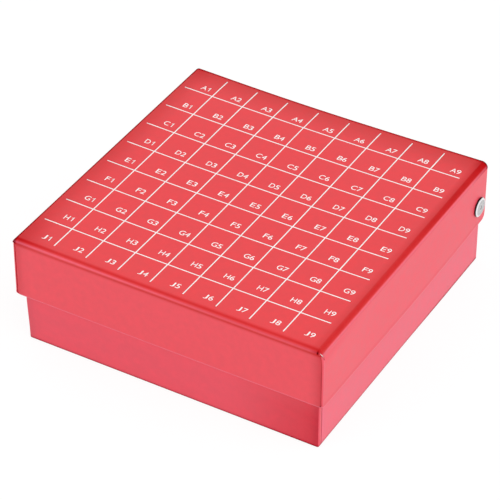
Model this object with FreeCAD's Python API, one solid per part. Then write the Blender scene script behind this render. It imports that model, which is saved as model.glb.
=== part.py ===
import FreeCAD, Part
import math
import os

# Cardboard freezer box: a paper-wrapped tray with a slotted cell divider inside, and a three-sided lid
# that swings up and back on a rivet at each side. All lengths are in millimetres.
# X runs to the right, Y to the back and Z up. The origin is the middle of the footprint, on the table.

# Lid, one folded board: top, front and two sides, open at the back
lid_width = 133.0
lid_depth = 133.8
box_height = 49.2
lid_skirt = 26.6
lid_board = 1.8
side_fold_radius = 2.4
front_fold_radius = 2.1
inner_fold_radius = 0.5
skirt_corner_radius = 3.0
lid_edge_radius = 0.4
corner_seam_width = 0.45
corner_seam_depth = 1.1

# Base tray, one folded board, and how it sits inside the lid
base_board = 2.2
side_gap = 1.0
front_gap = 1.2
rear_overhang = 1.2
base_fold_radius = 1.0
base_corner_radius = 0.6
rim_radius = 0.4
board_seam_width = 0.3
board_seam_depth = 0.5

# Hinge: its axis on the lid's sides, and the room kept under the lid's sagging top as it turns
pivot_from_rear_edge = 6.75
pivot_above_skirt = 9.4
swing_clearance = 1.35

# Rivets and washers
shank_diameter = 3.0
head_diameter = 8.1
head_height = 1.2
head_rim_height = 0.6
head_crown_diameter = 5.0
dimple_diameter = 2.4
dimple_depth = 0.45
lid_hole_clearance = 0.08
base_hole_clearance = 0.05
head_play = 0.2
washer_diameter = 8.0
washer_thickness = 0.6
clinch_diameter = 5.0
clinch_height = 0.8
clinch_chamfer = 0.4
clinch_bore_diameter = 1.6
clinch_bore_depth = 1.4

# Divider: thin card strips, slotted to half their height, that stand on the tray's floor
cells_across = 9
cells_deep = 9
strip_thickness = 0.8
strip_height = 32.0
strip_wall_gap = 0.3
slot_clearance = 0.15
slot_end_gap = 0.2
slot_lead_in = 0.4

# Printed cell index on the lid: one line between each two cells
print_line_width = 0.5
print_thickness = 0.08
print_pitch_across = 14.12
print_pitch_deep = 14.68
print_shift_across = -0.75
print_shift_deep = 0.56
print_margin_left = 3.5
print_margin_right = 5.2
print_margin_front = 3.4
print_margin_rear = 2.7

# Places worked out from the sizes above
footprint_depth = lid_depth + rear_overhang
lid_front = -footprint_depth / 2
lid_rear = lid_front + lid_depth
skirt_z = box_height - lid_skirt
lid_inner_z = box_height - lid_board
rim_z = lid_inner_z
base_width = lid_width - 2 * (lid_board + side_gap)
base_front = lid_front + lid_board + front_gap
base_rear = lid_rear + rear_overhang
tray_inner_width = base_width - 2 * base_board
tray_inner_front = base_front + base_board
tray_inner_rear = base_rear - base_board
pivot_y = lid_rear - pivot_from_rear_edge
pivot_z = skirt_z + pivot_above_skirt
swing_radius = lid_inner_z - pivot_z
rear_rim_z = pivot_z + math.sqrt((swing_radius - swing_clearance) ** 2 - (base_rear - pivot_y) ** 2)
cell_width = tray_inner_width / cells_across
cell_depth = (tray_inner_rear - tray_inner_front) / cells_deep
overrun = lid_board


def vector(x, y, z):
    return FreeCAD.Vector(x, y, z)


def front_plane(y):
    """Places a front view's (x, z) points at the given y."""
    return lambda x, z: vector(x, y, z)


def side_plane(x):
    """Places a side view's (y, z) points at the given x."""
    return lambda y, z: vector(x, y, z)


def plan_plane(z):
    """Places a plan view's (x, y) points at the given z."""
    return lambda x, y: vector(x, y, z)


def rounded_face(corners, place):
    """Flat face whose corners are (u, v, radius), where a radius of 0 is a sharp corner."""
    arcs = []
    for index, (u, v, radius) in enumerate(corners):
        corner = place(u, v)
        if radius == 0:
            arcs.append((corner, None, corner))
            continue
        before = corners[index - 1]
        after = corners[(index + 1) % len(corners)]
        to_before = (place(before[0], before[1]) - corner).normalize()
        to_after = (place(after[0], after[1]) - corner).normalize()
        half_angle = to_before.getAngle(to_after) / 2
        tangent_length = radius / math.tan(half_angle)
        middle = (to_before + to_after).normalize()
        arc_top = corner + middle * (radius / math.sin(half_angle) - radius)
        arcs.append((corner + to_before * tangent_length, arc_top, corner + to_after * tangent_length))
    edges = []
    for index, (start, arc_top, end) in enumerate(arcs):
        if arc_top is not None:
            edges.append(Part.Arc(start, arc_top, end).toShape())
        next_start = arcs[(index + 1) % len(arcs)][0]
        if (next_start - end).Length > 1e-6:
            edges.append(Part.LineSegment(end, next_start).toShape())
    return Part.Face(Part.Wire(edges))


def box_between(x0, x1, y0, y1, z0, z1):
    return Part.makeBox(x1 - x0, y1 - y0, z1 - z0, vector(x0, y0, z0))


def pivot_cylinder(radius, x0, x1):
    """Cylinder on the hinge axis between two places along X."""
    return Part.makeCylinder(radius, x1 - x0, vector(x0, pivot_y, pivot_z), vector(1, 0, 0))


def lid_shape():
    """Top, front and sides, folded at the top edges, with the back left open for the tray's rear wall."""
    half = lid_width / 2
    front_view = rounded_face(
        [
            (-half, skirt_z, 0),
            (half, skirt_z, 0),
            (half, box_height, side_fold_radius),
            (-half, box_height, side_fold_radius),
        ],
        front_plane(lid_front),
    )
    side_view = rounded_face(
        [
            (lid_front, skirt_z, 0),
            (lid_rear, skirt_z, skirt_corner_radius),
            (lid_rear, box_height, 0),
            (lid_front, box_height, front_fold_radius),
        ],
        side_plane(-half),
    )
    outside = front_view.extrude(vector(0, lid_depth, 0)).common(side_view.extrude(vector(lid_width, 0, 0)))

    inner_half = half - lid_board
    inner_front = lid_front + lid_board
    inner_front_view = rounded_face(
        [
            (-inner_half, skirt_z - overrun, 0),
            (inner_half, skirt_z - overrun, 0),
            (inner_half, lid_inner_z, inner_fold_radius),
            (-inner_half, lid_inner_z, inner_fold_radius),
        ],
        front_plane(inner_front),
    )
    inner_side_view = rounded_face(
        [
            (inner_front, skirt_z - overrun, 0),
            (lid_rear + overrun, skirt_z - overrun, 0),
            (lid_rear + overrun, lid_inner_z, 0),
            (inner_front, lid_inner_z, inner_fold_radius),
        ],
        side_plane(-inner_half),
    )
    inside = inner_front_view.extrude(vector(0, lid_rear + overrun - inner_front, 0))
    inside = inside.common(inner_side_view.extrude(vector(2 * inner_half, 0, 0)))
    shell = outside.cut(inside)

    shell = shell.makeFillet(lid_edge_radius, skirt_edges(shell))
    for side in (-1, 1):
        shell = shell.cut(corner_seam(side))
        hole_radius = shank_diameter / 2 + lid_hole_clearance
        shell = shell.cut(pivot_cylinder(hole_radius, side * half - overrun, side * half + overrun))
    return shell


def skirt_edges(shell):
    """The long lower edges of the lid's front and sides, where the paper wraps round the board."""
    edges = []
    for edge in shell.Edges:
        box = edge.BoundBox
        on_skirt = abs(box.ZMin - skirt_z) < 1e-3 and box.ZLength < 1e-3
        if on_skirt and edge.Length > lid_depth / 2:
            edges.append(edge)
    return edges


def corner_seam(side):
    """The open mitre where the front panel's end meets the side panel, at a front corner."""
    corner_x = side * lid_width / 2
    reach = corner_seam_depth * math.sqrt(2)
    half_seam = corner_seam_width / 2
    seam = box_between(-reach, reach, -half_seam, half_seam, 0, lid_skirt - front_fold_radius)
    seam.rotate(vector(0, 0, 0), vector(0, 0, 1), -45 * side)
    seam.translate(vector(corner_x, lid_front, skirt_z))
    return seam


def base_tray_shape():
    """Floor and four walls. Behind the hinge the rim drops, so that the lid's top clears it as it turns."""
    half = base_width / 2
    side_view = rounded_face(
        [
            (base_front, 0, base_fold_radius),
            (base_rear, 0, base_fold_radius),
            (base_rear, rear_rim_z, rim_radius),
            (tray_inner_rear, rear_rim_z, 0),
            (pivot_y, rim_z, 0),
            (base_front, rim_z, rim_radius),
        ],
        side_plane(-half),
    )
    front_view = rounded_face(
        [
            (-half, 0, base_fold_radius),
            (half, 0, base_fold_radius),
            (half, rim_z, rim_radius),
            (-half, rim_z, rim_radius),
        ],
        front_plane(base_front),
    )
    plan_view = rounded_face(
        [
            (-half, base_front, base_corner_radius),
            (half, base_front, base_corner_radius),
            (half, base_rear, base_corner_radius),
            (-half, base_rear, base_corner_radius),
        ],
        plan_plane(0),
    )
    tray = side_view.extrude(vector(base_width, 0, 0))
    tray = tray.common(front_view.extrude(vector(0, base_rear - base_front, 0)))
    tray = tray.common(plan_view.extrude(vector(0, 0, rim_z)))
    inner_half = tray_inner_width / 2
    pocket_top = rim_z + overrun
    pocket = box_between(-inner_half, inner_half, tray_inner_front, tray_inner_rear, base_board, pocket_top)
    tray = tray.cut(pocket)
    for side in (-1, 1):
        outer_x = side * half
        for seam_y in (tray_inner_front, tray_inner_rear):
            tray = tray.cut(
                box_between(
                    outer_x - board_seam_depth,
                    outer_x + board_seam_depth,
                    seam_y - board_seam_width / 2,
                    seam_y + board_seam_width / 2,
                    base_fold_radius,
                    rim_z,
                )
            )
        hole_radius = shank_diameter / 2 + base_hole_clearance
        tray = tray.cut(pivot_cylinder(hole_radius, outer_x - 2 * base_board, outer_x + 2 * base_board))
    return tray


def rivet_shape(side):
    """Flat-crowned head outside the lid, shank through both boards, end clinched over the washer inside."""
    head_seat = head_play
    head_top = head_seat + head_height
    washer_face = -(lid_board + side_gap + base_board + washer_thickness)
    clinch_end = washer_face - clinch_height
    bore_radius = clinch_bore_diameter / 2
    bore_end = clinch_end + clinch_bore_depth
    outline = [
        (bore_end, 0, 0),
        (bore_end, bore_radius, 0),
        (clinch_end, bore_radius, 0),
        (clinch_end, clinch_diameter / 2 - clinch_chamfer, 0),
        (clinch_end + clinch_chamfer, clinch_diameter / 2, 0),
        (washer_face, clinch_diameter / 2, 0),
        (washer_face, shank_diameter / 2, 0),
        (head_seat, shank_diameter / 2, 0),
        (head_seat, head_diameter / 2, 0),
        (head_seat + head_rim_height, head_diameter / 2, 0),
        (head_top, head_crown_diameter / 2, 0),
        (head_top, dimple_diameter / 2, 0),
        (head_top - dimple_depth, dimple_diameter / 4, 0),
        (head_top - dimple_depth, 0, 0),
    ]
    lid_face = lid_width / 2

    def place(along, radius):
        return vector(side * (lid_face + along), pivot_y, pivot_z + radius)

    return rounded_face(outline, place).revolve(vector(0, pivot_y, pivot_z), vector(1, 0, 0), 360)


def washer_shape(side):
    """Flat washer between the clinched end and the tray's side wall."""
    inner = side * tray_inner_width / 2
    outer = inner - side * washer_thickness
    low = min(inner, outer)
    high = max(inner, outer)
    disc = pivot_cylinder(washer_diameter / 2, low, high)
    return disc.cut(pivot_cylinder(shank_diameter / 2 + base_hole_clearance, low, high))


def strip_outline(length, spacing, count, slots_up):
    """Outline of a divider strip as (along, height, radius), with a slot at each strip that it crosses."""
    slot_half = (strip_thickness + slot_clearance) / 2
    slot_depth = (strip_height + slot_end_gap) / 2
    mouth = strip_height
    inward = -1
    if not slots_up:
        mouth = 0
        inward = 1
    slotted = []
    for number in range(1, count):
        middle = (number - count / 2) * spacing
        slotted += [
            (middle - slot_half - slot_lead_in, mouth, 0),
            (middle - slot_half, mouth + inward * slot_lead_in, 0),
            (middle - slot_half, mouth + inward * slot_depth, 0),
            (middle + slot_half, mouth + inward * slot_depth, 0),
            (middle + slot_half, mouth + inward * slot_lead_in, 0),
            (middle + slot_half + slot_lead_in, mouth, 0),
        ]
    plain = strip_height - mouth
    end = length / 2
    return [(-end, mouth, 0)] + slotted + [(end, mouth, 0), (end, plain, 0), (-end, plain, 0)]


def row_strip_shape(number):
    """Strip along X behind row number + 1, slotted from above. Row 1 is the rear one."""
    y = tray_inner_rear - number * cell_depth + strip_thickness / 2
    outline = strip_outline(tray_inner_width - 2 * strip_wall_gap, cell_width, cells_across, True)

    def place(along, height):
        return vector(along, y, base_board + height)

    return rounded_face(outline, place).extrude(vector(0, -strip_thickness, 0))


def column_strip_shape(number):
    """Strip along Y on the right of column number, slotted from below. Column 1 is the left one."""
    x = -tray_inner_width / 2 + number * cell_width - strip_thickness / 2
    middle_y = (tray_inner_front + tray_inner_rear) / 2
    length = tray_inner_rear - tray_inner_front - 2 * strip_wall_gap
    outline = strip_outline(length, cell_depth, cells_deep, False)

    def place(along, height):
        return vector(x, middle_y + along, base_board + height)

    return rounded_face(outline, place).extrude(vector(strip_thickness, 0, 0))


def cell_grid_print_shape():
    """White ink lines that cross on the lid's top, as one thin lattice."""
    left = -lid_width / 2 + print_margin_left
    right = lid_width / 2 - print_margin_right
    front = lid_front + print_margin_front
    rear = lid_rear - print_margin_rear
    half_line = print_line_width / 2
    top = box_height + print_thickness
    middle_y = (lid_front + lid_rear) / 2 + print_shift_deep
    lines = []
    for number in range(1, cells_across):
        x = (number - cells_across / 2) * print_pitch_across + print_shift_across
        lines.append(box_between(x - half_line, x + half_line, front, rear, box_height, top))
    for number in range(1, cells_deep):
        y = middle_y - (number - cells_deep / 2) * print_pitch_deep
        lines.append(box_between(left, right, y - half_line, y + half_line, box_height, top))
    return lines[0].multiFuse(lines[1:]).removeSplitter()


def build_nodes():
    nodes = {
        "base_tray": base_tray_shape(),
        "lid": lid_shape(),
        "cell_grid_print": cell_grid_print_shape(),
    }
    for name, side in (("left", -1), ("right", 1)):
        nodes["hinge_rivet_" + name] = rivet_shape(side)
        nodes["rivet_washer_" + name] = washer_shape(side)
    for number in range(1, cells_deep):
        nodes["divider_row_strip_" + str(number)] = row_strip_shape(number)
    for number in range(1, cells_across):
        nodes["divider_column_strip_" + str(number)] = column_strip_shape(number)
    return nodes


os.makedirs("parts", exist_ok=True)
for node_name, shape in build_nodes().items():
    shape.exportStep("parts/" + node_name + ".step")
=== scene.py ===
import math

import bmesh
import bpy
from mathutils import Matrix, Vector, noise


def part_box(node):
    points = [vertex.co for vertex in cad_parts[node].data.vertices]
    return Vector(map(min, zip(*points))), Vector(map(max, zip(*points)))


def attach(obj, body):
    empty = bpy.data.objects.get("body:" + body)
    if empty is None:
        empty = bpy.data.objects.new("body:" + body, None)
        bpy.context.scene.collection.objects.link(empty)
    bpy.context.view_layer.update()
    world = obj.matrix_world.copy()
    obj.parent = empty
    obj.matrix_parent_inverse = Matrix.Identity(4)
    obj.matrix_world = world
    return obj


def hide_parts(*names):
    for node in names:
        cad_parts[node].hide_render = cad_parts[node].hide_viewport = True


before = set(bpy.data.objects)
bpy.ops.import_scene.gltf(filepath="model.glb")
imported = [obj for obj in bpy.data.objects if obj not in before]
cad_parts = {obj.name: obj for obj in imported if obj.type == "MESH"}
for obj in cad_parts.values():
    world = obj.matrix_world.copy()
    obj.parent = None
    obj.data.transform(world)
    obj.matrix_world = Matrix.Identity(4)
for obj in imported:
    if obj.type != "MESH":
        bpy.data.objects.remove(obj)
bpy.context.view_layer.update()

# Camera: a long lens at the front right, looking down on the lid at about 38 degrees. It was worked out from
# the crossings of the printed lines and the outline of the box.
mm = 0.001
camera_data = bpy.data.cameras.new("Camera")
camera_data.sensor_width = 36
camera_data.lens = 190.09
camera_data.clip_start = 0.05
camera_data.clip_end = 20
camera = bpy.data.objects.new("Camera", camera_data)
camera.location = (404.94 * mm, -704.35 * mm, 650.59 * mm)
camera.rotation_euler = [math.radians(angle) for angle in (52.3763, -0.0911, 30.1159)]
bpy.context.scene.collection.objects.link(camera)
bpy.context.scene.camera = camera
bpy.context.scene.view_settings.view_transform = "Standard"


# Studio: a white table and white surroundings, both plain white to the camera and in reflections. On the
# table only the soft shadow of the box shows. A dark card behind the box, seen only in reflections, keeps
# the white from washing out the lid's right fold.
def start_material(name):
    """A new material, its node tree and its shader."""
    material = bpy.data.materials.new(name)
    material.use_nodes = True
    return material, material.node_tree, material.node_tree.nodes["Principled BSDF"]


def add_node(tree, kind, inputs=None, **settings):
    """A new node, with its settings and with a value or another node's output on each named input."""
    node = tree.nodes.new(kind)
    for key, value in settings.items():
        setattr(node, key, value)
    for key, value in (inputs or {}).items():
        if isinstance(value, bpy.types.NodeSocket):
            tree.links.new(value, node.inputs[key])
        else:
            node.inputs[key].default_value = value
    return node


def seen_directly(tree):
    """1 for the rays that show a surface: straight from the camera, in a reflection or through glass."""
    path = add_node(tree, "ShaderNodeLightPath")
    seen = path.outputs["Is Camera Ray"]
    for other in ("Is Glossy Ray", "Is Transmission Ray"):
        either = add_node(tree, "ShaderNodeMath", {0: seen, 1: path.outputs[other]}, operation="MAXIMUM")
        seen = either.outputs[0]
    return seen


def finished_object(name, mesh_or_bmesh):
    """An object at the origin that holds this mesh, shaded smooth."""
    if isinstance(mesh_or_bmesh, bmesh.types.BMesh):
        mesh = bpy.data.meshes.new(name)
        mesh_or_bmesh.to_mesh(mesh)
        mesh_or_bmesh.free()
    else:
        mesh = mesh_or_bmesh
    mesh.polygons.foreach_set("use_smooth", [True] * len(mesh.polygons))
    made = bpy.data.objects.new(name, mesh)
    bpy.context.scene.collection.objects.link(made)
    return made


surround_light = 0.68
table_light_share = 0.12
table_glow = 0.90
world = bpy.data.worlds.new("White_studio")
bpy.context.scene.world = world
world.use_nodes = True
surround = world.node_tree.nodes["Background"]
seen = seen_directly(world.node_tree)
brightness = add_node(
    world.node_tree, "ShaderNodeMapRange", {"Value": seen, "To Min": surround_light, "To Max": 1.0}
)
world.node_tree.links.new(brightness.outputs[0], surround.inputs["Strength"])
surround.inputs["Color"].default_value = (1, 1, 1, 1)

table_material, tree, shader = start_material("Table_white")
tree.nodes.remove(shader)
dull = add_node(tree, "ShaderNodeBsdfDiffuse", {"Color": (0.8, 0.8, 0.8, 1)})
seen_dull = add_node(tree, "ShaderNodeBsdfDiffuse", {"Color": (table_light_share,) * 3 + (1,)})
glow = add_node(tree, "ShaderNodeEmission", {"Strength": table_glow})
seen_table = add_node(tree, "ShaderNodeAddShader", {0: seen_dull.outputs[0], 1: glow.outputs[0]})
table_shader = add_node(
    tree, "ShaderNodeMixShader", {0: seen_directly(tree), 1: dull.outputs[0], 2: seen_table.outputs[0]}
)
tree.links.new(table_shader.outputs[0], tree.nodes["Material Output"].inputs["Surface"])
bm = bmesh.new()
bmesh.ops.create_grid(bm, x_segments=1, y_segments=1, size=6)
bmesh.ops.translate(bm, verts=bm.verts, vec=(0, 0, -0.05 * mm))
table = finished_object("Table", bm)
table.data.materials.append(table_material)

flag_material, tree, shader = start_material("Flag_black")
shader.inputs["Base Color"].default_value = (0.02, 0.02, 0.02, 1)
bm = bmesh.new()
bmesh.ops.create_grid(bm, x_segments=1, y_segments=1, size=1)
flag_direction = Vector((0.32, 0.78, 0.53)).normalized()
flag_distance = 2
flag_half_size = (0.95, 0.65, 1, 1)
flag_place = Matrix.Translation(flag_direction * flag_distance)
flag_place = flag_place @ flag_direction.to_track_quat("Z", "Y").to_matrix().to_4x4()
bmesh.ops.transform(bm, matrix=flag_place @ Matrix.Diagonal(flag_half_size), verts=bm.verts)
flag = finished_object("Flag_card", bm)
flag.data.materials.append(flag_material)
flag.visible_camera = False
flag.visible_diffuse = False
flag.visible_transmission = False
flag.visible_shadow = False

for name, place, size, power in (
    ("Lamp_above_right", (0.9, -0.5, 1.5), 1.4, 9.5),
    ("Lamp_front_left", (-0.9, -1.5, 0.7), 1.4, 9.5),
    ("Lamp_right_back", (1.7, 0.5, 0.5), 1.2, 8.5),
):
    lamp_data = bpy.data.lights.new(name, "AREA")
    lamp_data.size = size
    lamp_data.energy = power
    lamp = bpy.data.objects.new(name, lamp_data)
    lamp.location = place
    lamp.rotation_euler = Vector(place).to_track_quat("Z", "Y").to_euler()
    lamp.visible_glossy = False
    lamp.visible_camera = False
    bpy.context.scene.collection.objects.link(lamp)


# Red wrap and white liner: smooth red paper glued over the board outside and turned in over its edges, and
# white paper inside. Light and shade are painted into the wrap: a deeper red for painted shade on folds and
# edges, a paler pink for painted sheen and highlights, and a painted light level that darkens or lightens it.
def noise_field(tree, size, detail, seed):
    """Cloudy values from 0 to 1 through the piece, with features of about the given size."""
    place = add_node(tree, "ShaderNodeTexCoord").outputs["Object"]
    moved = add_node(tree, "ShaderNodeMapping", {"Vector": place, "Location": (seed, seed * 0.7, seed * 1.3)})
    cloud = add_node(
        tree, "ShaderNodeTexNoise", {"Vector": moved.outputs[0], "Scale": 1 / size, "Detail": detail}
    )
    return cloud.outputs[0]


def blend_colour(tree, amount, first, second):
    mixed = add_node(tree, "ShaderNodeMix", {0: amount, 6: first, 7: second}, data_type="RGBA")
    return mixed.outputs[2]


def paper_finish(tree, shader, colour, roughness, mottle, fibre_depth, seed):
    """Colour with a faint mottle, a roughness that varies with it, and a fine fibrous bump."""
    cloud = noise_field(tree, 3.0 * mm, 4, seed)
    fibre = noise_field(tree, 0.55 * mm, 2, seed + 0.1)
    lightness = add_node(
        tree, "ShaderNodeMapRange", {0: cloud, 1: 0.3, 2: 0.7, 3: 1 - mottle, 4: 1 + mottle}
    )
    toned = add_node(
        tree, "ShaderNodeVectorMath", {0: colour, "Scale": lightness.outputs[0]}, operation="SCALE"
    )
    tree.links.new(toned.outputs[0], shader.inputs["Base Color"])
    rough = add_node(
        tree, "ShaderNodeMapRange", {0: cloud, 1: 0.3, 2: 0.7, 3: roughness - 0.04, 4: roughness + 0.04}
    )
    tree.links.new(rough.outputs[0], shader.inputs["Roughness"])
    grain = add_node(tree, "ShaderNodeMath", {0: cloud, 1: 1.5}, operation="MULTIPLY")
    height = add_node(tree, "ShaderNodeMath", {0: grain.outputs[0], 1: fibre}, operation="ADD")
    bump = add_node(
        tree, "ShaderNodeBump", {"Height": height.outputs[0], "Strength": 1.0, "Distance": fibre_depth}
    )
    tree.links.new(bump.outputs[0], shader.inputs["Normal"])


def surface_value(tree, name):
    return add_node(tree, "ShaderNodeAttribute", attribute_name=name).outputs["Fac"]


def wrap_material(name, red, shade_red, sheen_pink, seed):
    material, tree, shader = start_material(name)
    # Painted shade: the deeper red where folds, creases, seams and edges fall into shade.
    colour = blend_colour(tree, surface_value(tree, "painted_shade"), red + (1,), shade_red + (1,))
    # Painted sheen and highlights: the paler pink where edges and grazing faces catch the light.
    colour = blend_colour(tree, surface_value(tree, "painted_sheen"), colour, sheen_pink + (1,))
    # Painted light level: scales the colour down in painted shade and a little up in painted light.
    painted_light = surface_value(tree, "painted_light")
    shade = add_node(tree, "ShaderNodeVectorMath", {0: colour, "Scale": painted_light}, operation="SCALE")
    # Painted shade also lowers the gloss, so that it stays dark.
    gloss = add_node(tree, "ShaderNodeMapRange", {0: painted_light, 1: 0.7, 2: 0.95, 3: 0.0, 4: 0.5})
    tree.links.new(gloss.outputs[0], shader.inputs["Specular IOR Level"])
    paper_finish(tree, shader, shade.outputs[0], 0.42, 0.035, 0.012 * mm, seed)
    return material


# The lid's red, the deeper red of its painted shade and the paler pink of its painted sheen and highlights.
lid_red = wrap_material("Lid_wrap_red", (0.78, 0.030, 0.038), (0.66, 0.004, 0.004), (0.86, 0.16, 0.25), 0.31)

liner_white, tree, shader = start_material("Liner_white")
paper_finish(tree, shader, (0.80, 0.79, 0.76), 0.72, 0.03, 0.02 * mm, 0.53)


# Lid: one sheet of board, scored and folded down at both sides and at the front, and open at the back. The
# panels meet in an open mitre at the front corners. The top has settled into a shallow dish, deepest at the
# free rear edge, and the side panels have spread a little at their lower edges.
lid_low, lid_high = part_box("lid")
lid_half = lid_high.x
lid_top = lid_high.z
lid_board = 1.8 * mm
left_fold = 1.9 * mm
right_fold = 2.6 * mm
front_fold = 2.1 * mm
inner_fold = 0.5 * mm
fold_steps = 18
crease_drop = 0.22 * mm
edge_round = 0.45 * mm
rear_edge_round = 0.20 * mm
lower_corner_radius = 3.0 * mm
panel_corner = 1.0 * mm
knock_radius = 1.6 * mm
mitre = 0.13 * mm
mitre_depth = 0.7 * mm
corner_spread = 0.45 * mm
touching = 1e-7
near_edge = [distance * mm for distance in (0, 0.05, 0.2, 0.45, 0.8, 1.2, 1.7, 2.3, 3.0)]


def smooth_step(start, end, value):
    """0 before start, 1 past end, and an even S between them."""
    share = min(max((value - start) / (end - start), 0), 1)
    return share * share * (3 - 2 * share)


def hump(middle, width, value):
    """1 at the middle, falling to nothing about two widths away."""
    return math.exp(-(((value - middle) / width) ** 2))


def fold_places(radius):
    """Distances from the sharp corner at which a fold of this radius is divided, from the corner inwards."""
    angles = [math.pi / 2 * (1 - step / fold_steps) for step in range(fold_steps + 1)]
    return [radius * (1 - math.sin(angle)) for angle in angles]


def fold_angle(distance, radius):
    """How far round a fold the point at this distance from the sharp corner lies, from 0 on the flat."""
    return math.asin(min(max(1 - distance / radius, 0), 1))


def folded(distance, radius, depth):
    """How far in from the sharp corner, and how far down, a face of the board lies on a fold or past it."""
    turn = fold_angle(distance, radius)
    bend = radius if depth == 0 else inner_fold
    return depth + bend * (1 - math.sin(turn)), depth + bend * (1 - math.cos(turn))


def side_fold(x):
    """Radius of the fold on this side. The left one is sharper."""
    return left_fold if x < 0 else right_fold


def spaced(start, end, count):
    return [start + (end - start) * step / count for step in range(1, count)]


def top_sag(x, y):
    """How far the lid's top has sunk at this place."""
    across = x / lid_half
    deep = min(max((y - lid_low.y) / (lid_high.y - lid_low.y), 0), 1)
    dish = 0.93 * math.sin(math.pi * deep**0.85) * (1 + 0.08 * across)
    free_edge = (1.07 - 0.22 * across) * math.exp((y - lid_high.y) / (15 * mm))
    return (dish + free_edge) * (1 - across * across) * mm


def edge_inset(distance, radius):
    """How much a rounded board edge draws in at this distance from the edge."""
    if distance >= radius:
        return 0
    return radius - math.sqrt(radius**2 - (radius - distance) ** 2)


def open_box(xs, ys, flat_z, levels, walls):
    """A sharp-edged box: a flat sheet at flat_z, with walls from the named sides divided at the levels."""
    bm = bmesh.new()
    bmesh.ops.create_grid(bm, x_segments=len(xs) - 1, y_segments=len(ys) - 1, size=1)
    for vert in bm.verts:
        column = round((vert.co.x + 1) / 2 * (len(xs) - 1))
        row = round((vert.co.y + 1) / 2 * (len(ys) - 1))
        vert.co = (xs[column], ys[row], flat_z)

    def on_wall(edge):
        a, b = edge.verts
        same_x = abs(a.co.x - b.co.x) < touching
        same_y = abs(a.co.y - b.co.y) < touching
        return (
            ("left" in walls and same_x and abs(a.co.x - xs[0]) < touching)
            or ("right" in walls and same_x and abs(a.co.x - xs[-1]) < touching)
            or ("front" in walls and same_y and abs(a.co.y - ys[0]) < touching)
            or ("rear" in walls and same_y and abs(a.co.y - ys[-1]) < touching)
        )

    edges = [edge for edge in bm.edges if edge.is_boundary and on_wall(edge)]
    for level in levels:
        made = bmesh.ops.extrude_edge_only(bm, edges=edges)["geom"]
        verts = {item for item in made if isinstance(item, bmesh.types.BMVert)}
        for vert in verts:
            vert.co.z = level
        edges = [item for item in made if isinstance(item, bmesh.types.BMEdge) and set(item.verts) <= verts]
    return bm


def board_shell(name, bm, place, paint, is_wrapped):
    """Gives a sharp-edged box the thickness of board. place moves a point of the box to the outer or inner
    face, paint gives its painted shade, sheen and light level, and is_wrapped says where the coloured paper
    is."""
    layers = [bm.verts.layers.float.new(layer) for layer in ("painted_shade", "painted_sheen", "painted_light")]
    outer_verts = bm.verts[:]
    copied = bmesh.ops.duplicate(bm, geom=bm.verts[:] + bm.edges[:] + bm.faces[:])
    inner_verts = [item for item in copied["geom"] if isinstance(item, bmesh.types.BMVert)]
    inner_faces = [item for item in copied["geom"] if isinstance(item, bmesh.types.BMFace)]
    bmesh.ops.reverse_faces(bm, faces=inner_faces)
    wrapped_sheet = {}
    for verts, outside in ((outer_verts, True), (inner_verts, False)):
        for vert in verts:
            box_point = vert.co.copy()
            values = paint(box_point) if outside else (0, 0, 1)
            for layer, value in zip(layers, values):
                vert[layer] = value
            wrapped_sheet[vert] = outside or is_wrapped(box_point)
            vert.co = place(box_point, outside)
    rim = [edge for edge in bm.edges if edge.is_boundary]
    bmesh.ops.bridge_loops(bm, edges=rim)
    for face in bm.faces:
        face.material_index = 0 if all(wrapped_sheet[vert] for vert in face.verts) else 1
    bmesh.ops.recalc_face_normals(bm, faces=bm.faces)
    return finished_object(name, bm)


def knocked_corner(point):
    """How far forward the lid's left rear corner has been rounded off by knocks at this place."""
    from_side = lid_half + point.x
    if from_side > knock_radius:
        return 0
    drawn_in = knock_radius - math.sqrt(knock_radius**2 - (knock_radius - from_side) ** 2)
    return drawn_in * (1 - smooth_step(0, 5 * mm, lid_high.y - point.y))


def place_on_top(point, depth, face):
    """A point of the lid's top or folds, and how much of the corner's fold it lies on."""
    from_side = lid_half - abs(point.x)
    from_front = point.y - lid_low.y
    radius = side_fold(point.x)
    turn = fold_angle(from_side, radius)
    front_turn = fold_angle(from_front, front_fold)
    side_inset, side_drop = folded(from_side, radius, depth)
    front_inset, front_drop = folded(from_front, front_fold, depth)
    x = lid_half - side_inset if from_side < radius + touching else abs(point.x)
    y = lid_low.y + front_inset if from_front < front_fold + touching else point.y
    y -= knocked_corner(point)
    z = lid_top - max(side_drop, front_drop) - top_sag(point.x, point.y)
    round_off = face * edge_inset(lid_high.y - point.y, rear_edge_round)
    ridge = 0.06 * mm * hump(62, 16, math.degrees(front_turn)) if depth == 0 else 0
    wave = noise.noise(point * 28) * 0.10 * mm
    wave *= smooth_step(0, 9 * mm, from_side) * smooth_step(0, 9 * mm, from_front)
    placed = Vector((x - round_off * math.sin(turn), y - ridge, z - round_off * math.cos(turn) + wave))
    return placed, (math.sin(turn) * math.sin(front_turn)) ** 3


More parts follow.
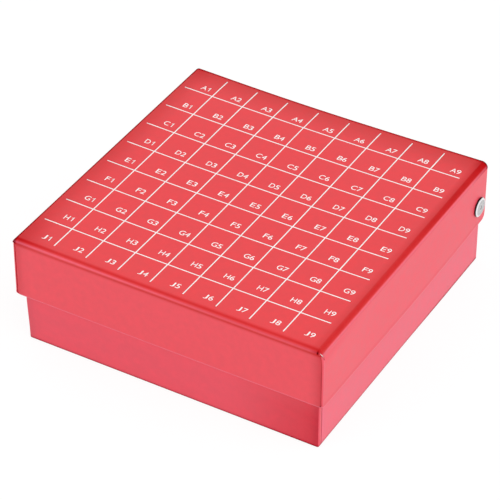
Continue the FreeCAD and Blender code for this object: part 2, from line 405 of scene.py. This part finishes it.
def place_on_wall(point, depth, face):
    """A point of the lid's front or side panels."""
    from_side = lid_half - abs(point.x)
    from_front = point.y - lid_low.y
    from_bottom = point.z - lid_low.z
    on_side = from_side < touching
    on_front = from_front < touching
    side_inset, side_drop = folded(from_side, side_fold(point.x), depth)
    front_inset, front_drop = folded(from_front, front_fold, depth)
    below_fold = lid_top - right_fold - point.z
    x = min(abs(point.x), lid_half - side_inset)
    y = max(point.y, lid_low.y + front_inset)
    y -= knocked_corner(point) * (1 - smooth_step(0, 8 * mm, below_fold))
    z = point.z + (right_fold - max(side_drop, front_drop)) * (1 - smooth_step(0, 6 * mm, below_fold))
    if on_side:
        reach_y = y - (lid_high.y - lower_corner_radius)
        reach_z = (lid_low.z + lower_corner_radius) - z
        if reach_y > 0 and reach_z > 0:
            shrink = max(reach_y, reach_z) / math.hypot(reach_y, reach_z)
            y = lid_high.y - lower_corner_radius + reach_y * shrink
            z = lid_low.z + lower_corner_radius - reach_z * shrink
        hang = (lid_top - point.z) / (lid_top - lid_low.z)
        along = from_front / (lid_high.y - lid_low.y)
        spread = 0.95 * mm * hang**1.3 * math.sin(math.pi * along) ** 0.8
        x = lid_half - depth + spread - face * edge_inset(min(lid_high.y - point.y, from_bottom), edge_round)
        if depth == 0:
            x += 0.10 * mm * hump(0.9 * mm, 0.5 * mm, from_bottom)
    if on_front:
        y = lid_low.y + depth + face * edge_inset(from_bottom, edge_round)
        if depth == 0:
            crease = hump(lid_top - front_fold - crease_drop, 0.45 * mm, z)
            y += 0.03 * mm * crease * smooth_step(0, 1.2 * mm, from_side)
    if point.x > 0:
        opened = smooth_step(0, 3 * mm, below_fold) * (1 - smooth_step(0, 40 * mm, from_front))
        x += corner_spread * opened * (1 - smooth_step(0, 8 * mm, from_side))
    from_corner = max(from_side, from_front)
    if from_corner < panel_corner:
        lift = panel_corner - math.sqrt(panel_corner**2 - (panel_corner - from_corner) ** 2)
        z += lift * (1 - smooth_step(0, 5 * mm, from_bottom))
    return Vector((x, y, z)), 1


def lid_place(point, outside):
    """Folds, dishes and creases a point of the sharp-edged lid, on the board's outer or inner face."""
    depth = 0 if outside else lid_board
    face = 1 if outside else -1
    on_top = point.z > lid_top - touching
    placed, corner = place_on_top(point, depth, face) if on_top else place_on_wall(point, depth, face)
    from_side = lid_half - abs(point.x)
    from_front = point.y - lid_low.y
    if outside and from_front < touching:
        end_curl = 0.30 * mm * (1 - smooth_step(0, 2.2 * mm, from_side))
        placed.y += corner * (mitre_depth * hump(0, mitre, from_side) + end_curl)
    if outside and from_side < touching:
        end_curl = 0.10 * mm * (1 - smooth_step(0, 0.9 * mm, from_front))
        placed.x -= corner * (mitre_depth * hump(0, mitre, from_front) + end_curl)
    if point.x < 0:
        placed.x = -placed.x
    return placed


def side_band(turn, past_fold, from_front):
    """Strength of the painted shade band on a side fold. It ends sharply, 54 degrees round and later at the
    corner.
    """
    lead = 1 - smooth_step(0, 0.7 * mm, past_fold)
    end = 54 + 15 * (1 - smooth_step(1 * mm, 6 * mm, from_front))
    return (0.5 * lead + 0.5 * smooth_step(0, 12, turn)) * (1 - smooth_step(end, end + 7, turn))


def front_band(turn, past_fold, from_left):
    """Strength of the narrower painted shade band on the front fold. It lies a little lower towards the
    right.
    """
    middle = 27 + 10 * smooth_step(0, 0.8 * lid_half, from_left)
    return 0.95 * hump(middle, 21, turn) * (1 - smooth_step(0, 0.9 * mm, past_fold))


def lid_paint(point):
    """Painted shade, painted sheen and painted light level of the lid's wrap at a point of the sharp-edged
    lid.
    """
    from_side = lid_half - abs(point.x)
    from_front = point.y - lid_low.y
    from_rear = lid_high.y - point.y
    from_left = point.x + lid_half
    radius = side_fold(point.x)
    turn = math.degrees(fold_angle(from_side, radius))
    front_turn = math.degrees(fold_angle(from_front, front_fold))
    # Painted sheen that grazing light lays on the side and front panels.
    side_sheen = 0.33
    front_sheen = 0.21
    if point.z > lid_top - touching:
        # Painted shade: the dark band round the side fold.
        painted_shade = side_band(turn, from_side - radius, from_front)
        # Painted highlight at the side fold's outer edge, and painted sheen past it.
        painted_sheen = 0.03 + 0.20 * hump(70, 7, turn) + side_sheen * smooth_step(57, 69, turn)
        painted_light = 1
        if front_turn > turn or turn == 0:
            # Front fold: a painted shade band, a painted highlight on the crest, and painted shade where the
            # fold ends.
            band = front_band(front_turn, from_front - front_fold, from_left)
            crest = hump(63 + 5 * smooth_step(0, 0.8 * lid_half, from_left), 11, front_turn)
            fold_end = smooth_step(76, 90, front_turn)
            painted_shade = max(band, 0.8 * fold_end, painted_shade if turn > 0 else 0)
            painted_sheen = 0.03 + crest * (0.50 - 0.26 * smooth_step(0, 1.5 * lid_half, from_left))
            painted_sheen += 0.5 * front_sheen * smooth_step(60, 80, front_turn) * (1 - fold_end)
            painted_light -= 0.12 * band + 0.08 * fold_end
            painted_light -= 0.10 * crest * smooth_step(0.5 * lid_half, 1.6 * lid_half, from_left)
        # Painted shade: the rear strip and the free rear edge are darker.
        rear_strip = 1 - smooth_step(0, 16 * mm, from_rear)
        rear_line = hump(0, 0.8 * mm, from_rear)
        painted_shade = max(painted_shade, rear_line, 0.8 * rear_strip)
        painted_light -= 0.08 * rear_strip + 0.52 * rear_line
        if point.x < 0:
            # Painted shade: the left part of the top and its fold are darker.
            near_side = 1 - smooth_step(4 * mm, 24 * mm, from_side)
            near_front = 1 - smooth_step(4 * mm, 24 * mm, from_front)
            painted_shade = max(painted_shade, 0.45 * (1 - smooth_step(0, 10 * mm, from_side - left_fold)))
            painted_light -= 0.08 * near_side * near_front
            painted_light -= 0.12 * (1 - smooth_step(0, 13 * mm, from_side))
            painted_light -= 0.50 * smooth_step(7, 34, turn) * (1 - smooth_step(66, 78, turn))
        else:
            # Painted shade near the right fold, deeper along it towards the rear, and in the notch at the
            # front corner.
            painted_light -= 0.06 * (1 - smooth_step(0, 15 * mm, from_side))
            if turn > 0:
                painted_light -= painted_shade * (0.03 + 0.13 * smooth_step(40 * mm, 120 * mm, from_front))
            notch = hump(2.1 * mm, 0.4 * mm, from_side) * hump(70, 18, front_turn)
            painted_light *= 1 - 0.95 * notch
            painted_sheen *= 1 - notch
        return painted_shade, painted_sheen, painted_light
    from_bottom = point.z - lid_low.z
    painted_shade = 0
    painted_sheen = side_sheen
    painted_light = 1
    if from_front < touching:
        # Painted shade in the crease below the front fold and near the panel's ends; painted highlight on the
        # lower edge.
        crease = hump(right_fold + crease_drop, 0.7 * mm, lid_top - point.z)
        crease *= 0.85 + 0.15 * smooth_step(0, 1.2 * lid_half, from_left)
        end_band = (0.55 if point.x < 0 else 0.75) * hump(1.0 * mm, 2.6 * mm, from_side)
        painted_shade = max(crease, end_band)
        painted_sheen = max(front_sheen, hump(0.15 * mm, 0.35 * mm, from_bottom)) * (1 - 0.8 * crease)
        painted_light -= 0.10 * crease + 0.12 * (1 - smooth_step(0, 7 * mm, from_side))
    if from_side < touching:
        # Painted shade a little above the side panel's lower edge; painted highlights on its front and lower
        # edges.
        painted_shade = max(painted_shade, 0.45 * hump(1.7 * mm, 0.5 * mm, from_bottom))
        front_edge_highlight = 0.6 * hump(0.7 * mm, 0.35 * mm, from_front)
        lower_edge_highlight = 0.7 * hump(0.4 * mm, 0.5 * mm, from_bottom)
        painted_sheen = max(painted_sheen, front_edge_highlight, lower_edge_highlight)
    # Painted shade in the mitre seam at the front corners.
    seam = hump(0, mitre, from_side) * hump(0, 0.06 * mm, from_front)
    darkness = 0.45 if point.x < 0 else 0.45 + 0.3 * smooth_step(4 * mm, 12 * mm, lid_top - point.z)
    return max(painted_shade, seam), painted_sheen * (1 - seam), painted_light * (1 - darkness * seam)


lid_xs = [lid_low.x + place for place in fold_places(left_fold)]
lid_xs += spaced(lid_low.x + left_fold, lid_high.x - right_fold, 46)
lid_xs += [lid_high.x - place for place in reversed(fold_places(right_fold))]
lid_ys = [lid_low.y + place for place in fold_places(front_fold)]
lid_ys += spaced(lid_low.y + front_fold, lid_high.y - near_edge[-1], 46)
lid_ys += [lid_high.y - place for place in reversed(near_edge)]
lid_levels = [lid_top - right_fold - drop * mm for drop in (0.08, 0.2, 0.32, 0.45, 0.6, 0.8, 1.2, 1.8)]
lid_levels += spaced(lid_levels[-1], lid_low.z + near_edge[-1], 8)
lid_levels += [lid_low.z + place for place in reversed(near_edge)]
turn_in = 10 * mm


def lid_wrapped(point):
    """The wrap is turned in over the lid's lower and rear edges."""
    on_top = point.z > lid_top - touching
    return lid_high.y - point.y < turn_in or (not on_top and point.z - lid_low.z < turn_in)


lid_sheet = open_box(lid_xs, lid_ys, lid_top, lid_levels, ("left", "front", "right"))
lid = board_shell("Lid_board", lid_sheet, lid_place, lid_paint, lid_wrapped)
lid.data.materials.append(lid_red)
lid.data.materials.append(liner_white)
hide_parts("lid")
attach(lid, "lid")

# Torn paper: at the right front corner the wrap has split at the top of the seam, and a sliver of its white
# core stands a little proud.
def raised_outline(name, outline, thickness):
    """A thin solid over an outline of (across, up) points, standing up from it by this thickness."""
    bm = bmesh.new()
    face = bm.faces.new([bm.verts.new((across, up, 0)) for across, up in outline])
    made = bmesh.ops.extrude_face_region(bm, geom=[face])["geom"]
    raised = [item for item in made if isinstance(item, bmesh.types.BMVert)]
    bmesh.ops.translate(bm, verts=raised, vec=(0, 0, thickness))
    bmesh.ops.recalc_face_normals(bm, faces=bm.faces)
    mesh = bpy.data.meshes.new(name)
    bm.to_mesh(mesh)
    bm.free()
    return mesh


torn_outline = (
    (65.50, 47.94), (65.95, 47.63), (66.38, 47.34), (66.66, 47.18), (66.70, 47.26), (66.42, 47.54),
    (66.03, 47.80), (65.56, 48.01),
)
torn_sheet = raised_outline("Lid_torn_paper", [(x * mm, z * mm) for x, z in torn_outline], 0.12 * mm)
torn_sheet.transform(Matrix.Translation((0, lid_low.y, 0)) @ Matrix.Rotation(math.radians(90), 4, "X"))
for vert in torn_sheet.vertices:
    vert.co.y += 0.2 * max(vert.co.z - 47.1 * mm, 0)
torn_paper = finished_object("Lid_torn_paper", torn_sheet)
torn_paper.data.materials.append(liner_white)
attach(torn_paper, "lid")

# Printed index: white ink screened on the lid, one line between each two rows and columns of cells and a
# letter and number in each cell. The print went on very slightly turned, and its characters are spaced a
# little closer than its lines.
cells_each_way = 9
line_width = 0.44 * mm
ink_height = 0.05 * mm
line_pitch_x = 14.12 * mm
line_pitch_y = 14.685 * mm
first_line_x = -50.17 * mm
first_line_y = 51.36 * mm
print_turn = Matrix.Rotation(math.radians(-0.14), 4, "Z")
row_line_ends = (-63.0 * mm, 61.3 * mm)
row_line_step = 0.08 * mm
column_line_ends = (-63.65 * mm, 63.6 * mm)
column_line_step = 0.07 * mm
type_size = 3.58 * mm
capital_height = 0.735
label_from_line = 7.22 * mm
label_above_line = 2.25 * mm
label_closer = 0.225 * mm
row_letters = "ABCDEFGHJ"
# The typeface: space before each character, its width and the space after it, as shares of the type size
character_spacing = {
    "A": (0, 0.67, 0.02), "B": (0.06, 0.55, 0.05), "C": (0, 0.63, 0.105), "D": (0.06, 0.60, 0.09),
    "E": (0.06, 0.53, 0.12), "F": (0.06, 0.48, 0.08), "G": (0.035, 0.65, 0.08), "H": (0.07, 0.56, 0.12),
    "J": (0.03, 0.42, 0.16), "1": (0.10, 0.26, 0), "2": (0, 0.50, 0), "3": (0, 0.49, 0), "4": (0, 0.50, 0),
    "5": (0, 0.48, 0), "6": (0, 0.48, 0), "7": (0, 0.50, 0), "8": (0, 0.49, 0), "9": (0, 0.49, 0),
}
figure_one = (
    (0.172, 0), (0.26, 0), (0.26, 0.735), (0.20, 0.735), (0.13, 0.63), (0, 0.56), (0, 0.485), (0.172, 0.57),
)


def lay_on_lid(bm):
    """Turns the print to its place and lays it on the dished top."""
    bmesh.ops.transform(bm, matrix=print_turn, verts=bm.verts)
    for vert in bm.verts:
        on_lid = lid_place(Vector((vert.co.x, vert.co.y, lid_top)), True)
        vert.co.z = on_lid.z + vert.co.z


white_ink, tree, shader = start_material("Index_ink_white")
paper_finish(tree, shader, (0.97, 0.96, 0.95), 0.55, 0.03, 0.006 * mm, 0.77)
bm = bmesh.new()
for number in range(cells_each_way - 1):
    x = first_line_x + number * line_pitch_x
    y = first_line_y - number * line_pitch_y
    left_end = row_line_ends[0] + number * row_line_step
    front_end = column_line_ends[0] - number * column_line_step
    for (x0, x1), (y0, y1) in (
        ((left_end, row_line_ends[1]), (y - line_width / 2, y + line_width / 2)),
        ((x - line_width / 2, x + line_width / 2), (front_end, column_line_ends[1])),
    ):
        along_x = x1 - x0 > y1 - y0
        strip = bmesh.ops.create_grid(
            bm, x_segments=60 if along_x else 1, y_segments=1 if along_x else 60, size=0.5
        )["verts"]
        middle = Matrix.Translation(((x0 + x1) / 2, (y0 + y1) / 2, 0 if along_x else 0.008 * mm))
        bmesh.ops.transform(bm, matrix=middle @ Matrix.Diagonal((x1 - x0, y1 - y0, 1, 1)), verts=strip)
extruded = bmesh.ops.extrude_face_region(bm, geom=bm.faces[:])["geom"]
raised = [item for item in extruded if isinstance(item, bmesh.types.BMVert)]
bmesh.ops.translate(bm, verts=raised, vec=(0, 0, ink_height))
bmesh.ops.recalc_face_normals(bm, faces=bm.faces)
lay_on_lid(bm)
index_lines = finished_object("Lid_index_lines", bm)
index_lines.data.materials.append(white_ink)
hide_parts("cell_grid_print")
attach(index_lines, "lid")


def drawn_character(character):
    """A thin solid of a character at the type's width and height, its lower left corner at the origin."""
    if character == "1":
        outline = [(x * type_size, y * type_size) for x, y in figure_one]
        return raised_outline("Index_character", outline, ink_height)
    words = bpy.data.curves.new("Index_character", "FONT")
    words.body = character
    words.size = type_size
    words.extrude = ink_height / 2
    words.offset = -0.015 * mm
    words.resolution_u = 5
    holder = bpy.data.objects.new("Index_character", words)
    drawn = bpy.data.meshes.new_from_object(holder)
    bpy.data.objects.remove(holder)
    bpy.data.curves.remove(words)
    left = min(vert.co.x for vert in drawn.vertices)
    bottom = min(vert.co.y for vert in drawn.vertices)
    width = max(vert.co.x for vert in drawn.vertices) - left
    height = max(vert.co.y for vert in drawn.vertices) - bottom
    wanted_width = character_spacing[character][1] * type_size
    stretch = Matrix.Diagonal((wanted_width / width, capital_height * type_size / height, 1, 1))
    drawn.transform(stretch @ Matrix.Translation((-left, -bottom, ink_height / 2)))
    return drawn


characters = {character: drawn_character(character) for character in character_spacing}
bm = bmesh.new()
for row, letter in enumerate(row_letters):
    for column in range(cells_each_way):
        x = first_line_x + (column - 1) * line_pitch_x + label_from_line
        y = first_line_y - row * line_pitch_y + label_above_line + row * label_closer
        for character in (letter, str(column + 1)):
            before, width, after = character_spacing[character]
            placed = characters[character].copy()
            placed.transform(Matrix.Translation((x + before * type_size, y, 0)))
            bm.from_mesh(placed)
            bpy.data.meshes.remove(placed)
            x += (before + width + after) * type_size
for drawn in characters.values():
    bpy.data.meshes.remove(drawn)
lay_on_lid(bm)
index_labels = finished_object("Lid_index_labels", bm)
index_labels.data.materials.append(white_ink)
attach(index_labels, "lid")

# Tray: one sheet of board folded up on four sides and wrapped in the same red paper. The front and rear
# walls run the full width, so that their ends show as a strip and a seam at each end of the side walls.
tray_low, tray_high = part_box("base_tray")
tray_board = 2.2 * mm
tray_round = 0.8 * mm
rear_corner_round = 0.35 * mm
seam_half = 0.16 * mm
seam_depth = 0.45 * mm
rim_slope_start = 59.55 * mm
rear_rim = 43.58 * mm
tray_middle_y = (tray_low.y + tray_high.y) / 2


def tray_lean(x, y, z):
    """How far the tray's walls stand aside: it sits askew, and its left wall bulges out towards the front."""
    forward = (tray_middle_y - y) / (tray_high.y - tray_low.y)
    if x > 0:
        return (0.13 + 0.44 * forward) * mm
    bulge = smooth_step(-0.1, 0.5, forward) * smooth_step(0, 22 * mm, z)
    return (0.06 + 0.28 * forward - 0.80 * bulge) * mm


def tray_place(point, outside):
    """Rounds the tray's corners and edges, presses in its seams and drops its rim behind the hinge."""
    p = point.copy()
    on_side = tray_high.x - abs(p.x) < touching
    on_end = min(p.y - tray_low.y, tray_high.y - p.y) < touching
    along = min(p.y - tray_low.y, tray_high.y - p.y)
    from_rim = tray_high.z - p.z
    inset = edge_inset(from_rim, edge_round)
    if outside:
        to_rear = smooth_step(0, 40 * mm, p.y)
        corner_round = tray_round + (rear_corner_round - tray_round) * to_rear
        core = Vector(
            (
                min(max(p.x, tray_low.x + corner_round), tray_high.x - corner_round),
                min(max(p.y, tray_low.y + corner_round), tray_high.y - corner_round),
                max(p.z, tray_low.z + corner_round),
            )
        )
        out = p - core
        press = 0
        if on_side and p.z > tray_low.z + touching:
            press = seam_depth * hump(0, seam_half, along - tray_board) * (1 - 0.9 * to_rear)
            press *= smooth_step(0, 1.5 * mm, p.z - tray_low.z)
        p = core + out.normalized() * (corner_round - press - inset)
    else:
        p.x *= (tray_high.x - tray_board) / tray_high.x
        depth_scale = (tray_high.y - tray_low.y - 2 * tray_board) / (tray_high.y - tray_low.y)
        p.y = tray_middle_y + (p.y - tray_middle_y) * depth_scale
        height_scale = (tray_high.z - tray_low.z - tray_board) / (tray_high.z - tray_low.z)
        p.z = tray_low.z + tray_board + (p.z - tray_low.z) * height_scale
        if on_side:
            p.x += math.copysign(inset, p.x)
        if on_end:
            p.y += math.copysign(inset, p.y - tray_middle_y)
    drop = min(max((p.y - rim_slope_start) / (tray_high.y - tray_board - rim_slope_start), 0), 1)
    lowered = 1 - drop * (tray_high.z - rear_rim) / (tray_high.z - tray_low.z)
    p.z = tray_low.z + (p.z - tray_low.z) * lowered
    p.x += tray_lean(p.x, p.y, p.z) * min(abs(p.x) / tray_high.x, 1)
    return p


# Painted shade, painted sheen and painted light level of the tray's wrap at a point of the sharp-edged tray.
def tray_paint(point):
    from_side = tray_high.x - abs(point.x)
    from_end = min(point.y - tray_low.y, tray_high.y - point.y)
    from_floor = point.z - tray_low.z
    painted_shade = 0
    # Painted sheen over the whole wrap.
    painted_sheen = 0.18
    painted_light = 1
    if from_end < touching:
        # Front and rear walls: painted shade near the corners, less sheen and darker towards the right end,
        # lighter near the rim.
        right_end = 1 - smooth_step(0, 45 * mm, tray_high.x - point.x)
        painted_shade = 0.5 * hump(0.4 * mm, 1.2 * mm, from_side)
        painted_sheen -= 0.13 * right_end
        painted_light = 1.07 - 0.07 * (1 - smooth_step(14 * mm, 20 * mm, from_floor))
        painted_light -= 0.06 * (1 - smooth_step(0, 9 * mm, from_side)) + 0.15 * right_end
    if from_side < touching:
        # Side walls: painted shade in the seams, stronger painted sheen, a painted highlight beside the end
        # strip, lighter overall.
        seam = hump(tray_board, 0.2 * mm, from_end) * (1 - 0.8 * smooth_step(0, 40 * mm, point.y))
        painted_shade = max(painted_shade if from_end > touching else 0, seam)
        painted_sheen = 0.42
        if point.y < 0:
            on_strip = 1 - smooth_step(tray_board - 0.2 * mm, tray_board, from_end)
            painted_sheen += 0.20 * hump(tray_board + 0.6 * mm, 0.4 * mm, from_end) - 0.22 * on_strip
        painted_light = 1.03 - 0.43 * seam
    # Painted shade along the bottom edge, where it meets the table.
    bottom_edge = hump(0, 0.9 * mm, from_floor)
    return max(painted_shade, bottom_edge), painted_sheen * (1 - bottom_edge), painted_light * (1 - 0.45 * bottom_edge)


def tray_wrapped(point):
    return tray_high.z - point.z < turn_in


# The tray's red, the deeper red of its painted shade and the paler pink of its painted sheen.
tray_red = wrap_material(
    "Tray_wrap_red", (0.77, 0.030, 0.052), (0.55, 0.005, 0.025), (0.86, 0.20, 0.30), 0.93
)
near_corner = [distance * mm for distance in (0, 0.2, 0.45, 0.8)]
near_seam = [tray_board + offset * mm for offset in (-0.45, -0.2, -0.1, 0, 0.1, 0.2, 0.45)]
tray_xs = [tray_low.x + place for place in near_corner]
tray_xs += spaced(tray_low.x + near_corner[-1], tray_high.x - near_corner[-1], 40)
tray_xs += [tray_high.x - place for place in reversed(near_corner)]
end_places = near_corner + near_seam
tray_ys = [tray_low.y + place for place in end_places]
tray_ys += spaced(tray_low.y + end_places[-1], tray_high.y - end_places[-1], 40)
tray_ys += [tray_high.y - place for place in reversed(end_places)]
tray_levels = [tray_low.z + place for place in near_corner[1:] + [1.3 * mm, 1.9 * mm]]
tray_levels += spaced(tray_levels[-1], tray_high.z - near_edge[-1], 14)
tray_levels += [tray_high.z - place for place in reversed(near_edge)]
tray_sheet = open_box(tray_xs, tray_ys, tray_low.z, tray_levels, ("left", "front", "right", "rear"))
tray = board_shell("Tray_board", tray_sheet, tray_place, tray_paint, tray_wrapped)
tray.data.materials.append(tray_red)
tray.data.materials.append(liner_white)
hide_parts("base_tray")
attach(tray, "base")


# Rivets: plated steel, one through each side of lid and tray. The head lies outside the lid, flat with a
# rounded rim and a small dimple; painted shade darkens the side of the head and the dimple, and a painted
# highlight brightens the rim. The tube end is clinched over a washer inside the tray.
def turned_piece(name, outline, side, centre):
    """Spins an outline of (along, radius, painted light) in millimetres round the hinge axis, at this side.
    """
    bm = bmesh.new()
    painted_metal_light_layer = bm.verts.layers.float.new("painted_metal_light")
    verts = []
    for along, radius, painted_metal_light in outline:
        verts.append(bm.verts.new((side * along * mm, 0, radius * mm)))
        verts[-1][painted_metal_light_layer] = painted_metal_light
    edges = [bm.edges.new(pair) for pair in zip(verts, verts[1:])]
    bmesh.ops.spin(
        bm, geom=verts + edges, cent=(0, 0, 0), axis=(1, 0, 0), angle=2 * math.pi, steps=48, use_merge=True
    )
    bmesh.ops.remove_doubles(bm, verts=bm.verts, dist=0.001 * mm)
    bmesh.ops.recalc_face_normals(bm, faces=bm.faces)
    bmesh.ops.translate(bm, verts=bm.verts, vec=centre)
    return finished_object(name, bm)


nickel, tree, shader = start_material("Rivet_nickel")
shader.inputs["Metallic"].default_value = 1.0
plating = noise_field(tree, 0.5 * mm, 5, 0.21)
dull_steel = blend_colour(tree, plating, (0.60, 0.60, 0.61, 1), (0.80, 0.80, 0.81, 1))
# Painted shade and highlight on the metal: dark on the side of the head and in the dimple, brighter than
# white on the rim.
painted_light_steel = blend_colour(tree, surface_value(tree, "painted_metal_light"), (0.05, 0.035, 0.035, 1), (1.22, 1.22, 1.22, 1))
steel = add_node(tree, "ShaderNodeVectorMath", {0: dull_steel, 1: painted_light_steel}, operation="MULTIPLY")
tree.links.new(steel.outputs[0], shader.inputs["Base Color"])
wear = add_node(tree, "ShaderNodeMapRange", {0: plating, 1: 0.3, 2: 0.7, 3: 0.22, 4: 0.38})
tree.links.new(wear.outputs[0], shader.inputs["Roughness"])
scratch = add_node(tree, "ShaderNodeBump", {"Height": plating, "Strength": 0.4, "Distance": 0.01 * mm})
tree.links.new(scratch.outputs[0], shader.inputs["Normal"])

for side, name in ((-1, "left"), (1, "right")):
    washer_low, washer_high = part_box("rivet_washer_" + name)
    rivet_low, rivet_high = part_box("hinge_rivet_" + name)
    centre = Vector((side * lid_half, (washer_low.y + washer_high.y) / 2, (washer_low.z + washer_high.z) / 2))
    shift = side * tray_lean(centre.x, centre.y, centre.z) / mm
    washer_back = (max(abs(washer_low.x), abs(washer_high.x)) - lid_half) / mm + shift
    washer_face = (min(abs(washer_low.x), abs(washer_high.x)) - lid_half) / mm + shift
    clinch_end = (min(abs(rivet_low.x), abs(rivet_high.x)) - lid_half) / mm + shift
    # The third number of each point is its painted light: 0 is painted shade on the head's side, 1 the
    # painted highlight on the rim.
    rivet_outline = [
        (clinch_end + 1.4, 0, 0.3), (clinch_end + 1.4, 0.8, 0.3), (clinch_end + 0.15, 0.8, 0.6),
        (clinch_end, 0.95, 0.8), (clinch_end, 2.0, 0.8), (clinch_end + 0.15, 2.35, 0.8),
        (clinch_end + 0.4, 2.5, 0.7), (washer_face, 2.5, 0.5), (washer_face, 1.5, 0.5), (0.2, 1.5, 0.1),
        (0.2, 3.9, 0.0), (0.26, 4.02, 0.0), (0.36, 4.05, 0.0), (0.84, 4.05, 0.0), (0.92, 4.0, 0.9),
        (1.04, 3.85, 1.0), (1.14, 3.65, 1.0),
        (1.2, 3.4, 1.0), (1.22, 3.25, 0.7), (1.2, 3.0, 0.62), (1.18, 2.2, 0.62), (1.2, 1.4, 0.66),
        (1.23, 1.15, 0.85), (1.15, 0.9, 0.35), (0.99, 0.65, 0.4), (0.91, 0.35, 0.75), (0.89, 0, 0.8),
    ]
    washer_outline = [
        (washer_face, 1.6, 0.5), (washer_face, 3.85, 0.7), (washer_face + 0.06, 3.97, 0.8),
        (washer_face + 0.16, 4.0, 0.8), (washer_back - 0.16, 4.0, 0.7), (washer_back - 0.04, 3.97, 0.6),
        (washer_back, 3.85, 0.5), (washer_back, 1.6, 0.5), (washer_face, 1.6, 0.5),
    ]
    for piece_name, node, outline in (
        ("Rivet_" + name, "hinge_rivet_" + name, rivet_outline),
        ("Rivet_washer_" + name, "rivet_washer_" + name, washer_outline),
    ):
        turned = turned_piece(piece_name, outline, side, centre)
        turned.data.materials.append(nickel)
        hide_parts(node)
        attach(turned, "base")

# Divider: strips of white card that stand on the tray's floor. The row strips are slotted from above and the
# column strips from below, each to half its height, and they hook into each other.
card_white, tree, shader = start_material("Divider_card_white")
paper_finish(tree, shader, (0.82, 0.81, 0.78), 0.8, 0.035, 0.03 * mm, 0.11)
slot_half = 0.475 * mm
slot_lead = 0.4 * mm
card_height = 32.0 * mm
slot_reach = 16.1 * mm
card_round = 0.08 * mm


def slotted_strip(name, node, along_x, slots_up, spacing):
    """One strip, flat on its narrow axis, with a slot at each of the eight strips that it crosses."""
    low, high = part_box(node)
    start, end = (low.x, high.x) if along_x else (low.y, high.y)
    middle = (start + end) / 2
    lines = [start, end]
    for number in range(1, cells_each_way):
        centre = middle + (number - cells_each_way / 2) * spacing
        lines += [centre - slot_half, centre + slot_half]
    lines.sort()
    heights = [0, card_height - slot_reach, card_height - slot_lead, card_height]
    bm = bmesh.new()
    bmesh.ops.create_grid(bm, x_segments=len(lines) - 1, y_segments=3, size=1)
    slots = []
    for face in bm.faces:
        column = round((face.calc_center_median().x + 1) / 2 * (len(lines) - 1) - 0.5)
        row = round((face.calc_center_median().y + 1) / 2 * 3 - 0.5)
        if column % 2 == 1 and row > 0:
            slots.append(face)
    for vert in bm.verts:
        column = round((vert.co.x + 1) / 2 * (len(lines) - 1))
        row = round((vert.co.y + 1) / 2 * 3)
        lead = 0
        if row == 3 and 0 < column < len(lines) - 1:
            lead = -slot_lead if column % 2 == 1 else slot_lead
        vert.co = (lines[column] + lead, 0, heights[row])
    bmesh.ops.delete(bm, geom=slots, context="FACES")
    made = bmesh.ops.extrude_face_region(bm, geom=bm.faces[:])["geom"]
    thickness = (high.y - low.y) if along_x else (high.x - low.x)
    far_side = [item for item in made if isinstance(item, bmesh.types.BMVert)]
    bmesh.ops.translate(bm, verts=far_side, vec=(0, thickness, 0))
    bmesh.ops.recalc_face_normals(bm, faces=bm.faces)
    corners = [edge for edge in bm.edges if edge.calc_face_angle(0) > 0.5]
    bmesh.ops.bevel(
        bm, geom=corners, offset=card_round, offset_type="OFFSET", segments=1, profile=0.5, affect="EDGES",
        material=-1,
    )
    if not slots_up:
        bmesh.ops.scale(bm, verts=bm.verts, vec=(1, 1, -1))
        bmesh.ops.translate(bm, verts=bm.verts, vec=(0, 0, card_height))
    bmesh.ops.translate(bm, verts=bm.verts, vec=(0, low.y if along_x else low.x, low.z))
    if not along_x:
        for vert in bm.verts:
            vert.co = (vert.co.y, vert.co.x, vert.co.z)
    bmesh.ops.recalc_face_normals(bm, faces=bm.faces)
    strip = finished_object(name, bm)
    strip.data.polygons.foreach_set("use_smooth", [False] * len(strip.data.polygons))
    strip.data.materials.append(card_white)
    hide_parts(node)
    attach(strip, "base")


cell_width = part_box("divider_column_strip_2")[0].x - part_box("divider_column_strip_1")[0].x
cell_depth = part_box("divider_row_strip_1")[0].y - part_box("divider_row_strip_2")[0].y
for number in range(1, cells_each_way):
    row_name = "divider_row_strip_" + str(number)
    column_name = "divider_column_strip_" + str(number)
    slotted_strip("Divider_row_" + str(number), row_name, True, True, cell_width)
    slotted_strip("Divider_column_" + str(number), column_name, False, False, cell_depth)
